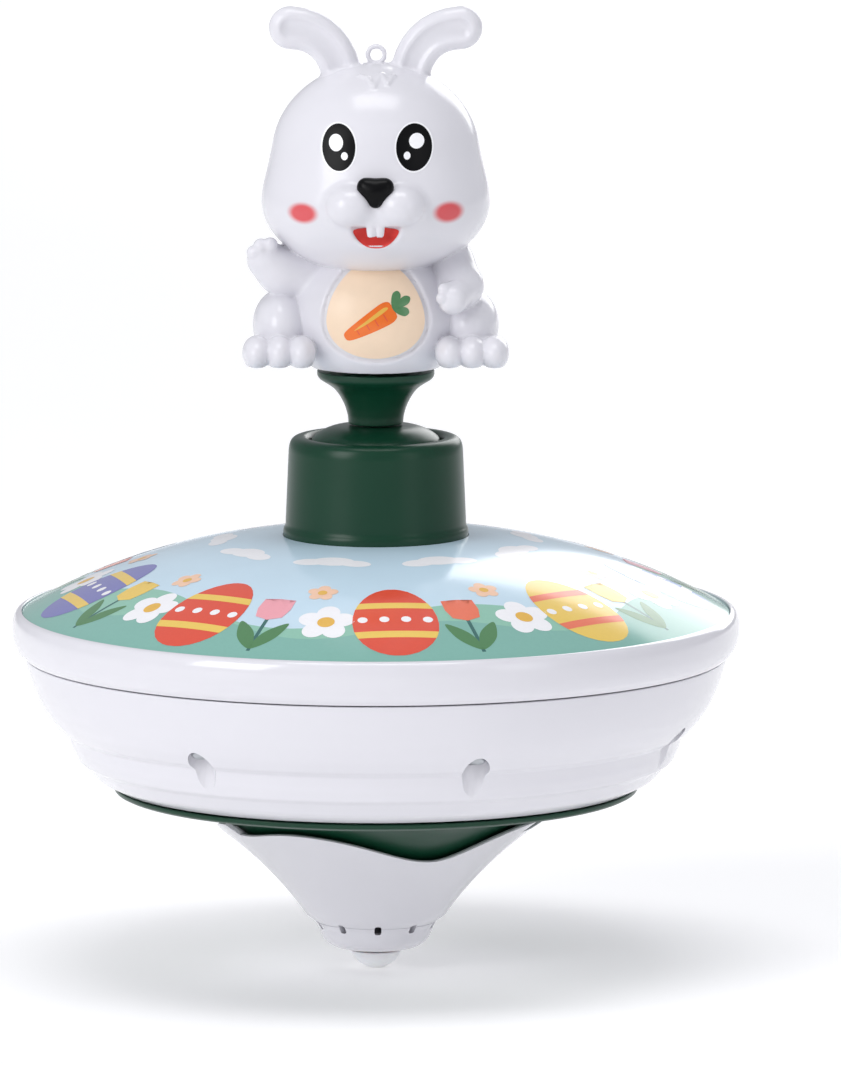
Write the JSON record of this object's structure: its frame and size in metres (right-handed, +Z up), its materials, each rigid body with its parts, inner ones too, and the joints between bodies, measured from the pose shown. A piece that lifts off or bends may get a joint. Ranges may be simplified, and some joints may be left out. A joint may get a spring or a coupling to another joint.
{
  "type": "light up spinning top",
  "caption": "Press-handle spinning top with a rabbit figure on a sprung twisted rod, a domed picture cover over a white bowl, lamps, sound board, speaker cone and a rounded tip",
  "frame": {"origin": "bottom of the spin tip, on the spin axis", "axes": "+Z up along the spin axis, the figure faces -Y, +X is to the viewer right"},
  "size_m": [0.1304, 0.1304, 0.1738],
  "materials": {
    "white": "high gloss moulded ABS, faint cool tint",
    "dark_green": "glossy moulded ABS",
    "picture": "printed spring picture under gloss film",
    "badge_cream": "satin printed disc",
    "nylon": "satin moulded nylon",
    "black_plastic": "satin",
    "board": "solder mask",
    "lamp_lens": "clear epoxy",
    "wire_red": "satin insulation",
    "wire_black": "satin insulation",
    "steel": "bright zinc plate",
    "nickel": "nickel plate",
    "brass": "plain"
  },
  "bodies": {
    "top_body": {"spin_tip": "nylon", "lower_cone": "white", "base_tray": "dark_green", "bowl": "white", "top_cover": "white", "picture_label": "picture", "collar": "dark_green", "ratchet_ring": "nylon", "clutch_housing": "white", "circuit_board": "board", "sound_chip": "black_plastic", "spin_switch": "nickel", "battery_holder": "black_plastic", "contact_plate_lower": "brass", "contact_plate_upper": "brass", "speaker": "black_plastic", "speaker_ring": "black_plastic", "battery_wire_negative": "wire_black", "battery_wire_positive": "wire_red", "speaker_wire_1": "wire_red", "speaker_wire_2": "wire_black", "clutch_screw_1": "steel", "board_screw_1": "steel", "cell_1": "nickel", "clutch_screw_2": "steel", "board_screw_2": "steel", "cell_2": "nickel", "clutch_screw_3": "steel", "board_screw_3": "steel", "cell_3": "nickel", "lamp_1": "lamp_lens", "lamp_2": "lamp_lens", "lamp_3": "lamp_lens", "lamp_4": "lamp_lens", "lamp_5": "lamp_lens", "lamp_6": "lamp_lens", "rim_screw_1": "steel", "rim_screw_2": "steel", "rim_screw_3": "steel", "rim_screw_4": "steel", "rim_screw_5": "steel", "rim_screw_6": "steel", "rim_screw_7": "steel"},
    "spring_seat": {"thrust_washer": "nylon", "return_spring": "steel"},
    "handle": {"plunger": "dark_green", "neck": "dark_green", "twisted_rod": "steel", "handle_screw": "steel", "rabbit_front_shell": "white", "rabbit_rear_shell": "white", "belly_badge": "badge_cream"},
    "nut": {"drive_nut": "nylon"}
  },
  "joints": [
    {"name": "handle_turn", "type": "hinge", "parent": "top_body", "child": "spring_seat", "pos_m": [0, 0, 0.0652], "axis": [0, 0, 1], "continuous": true},
    {"name": "handle_press", "type": "slide", "parent": "spring_seat", "child": "handle", "axis": [0, 0, -1], "range_m": [0, 0.012], "stiffness_N_per_m": 400, "springref_m": -0.008, "deforming": ["return_spring"]},
    {"name": "nut_turn", "type": "hinge", "parent": "spring_seat", "child": "nut", "pos_m": [0, 0, 0.0586], "axis": [0, 0, 1], "range_deg": [0, 180]}
  ],
  "couplings": [
    {"joint": "nut_turn", "follows": "handle_press", "rad_per_m": 261.8}
  ]
}
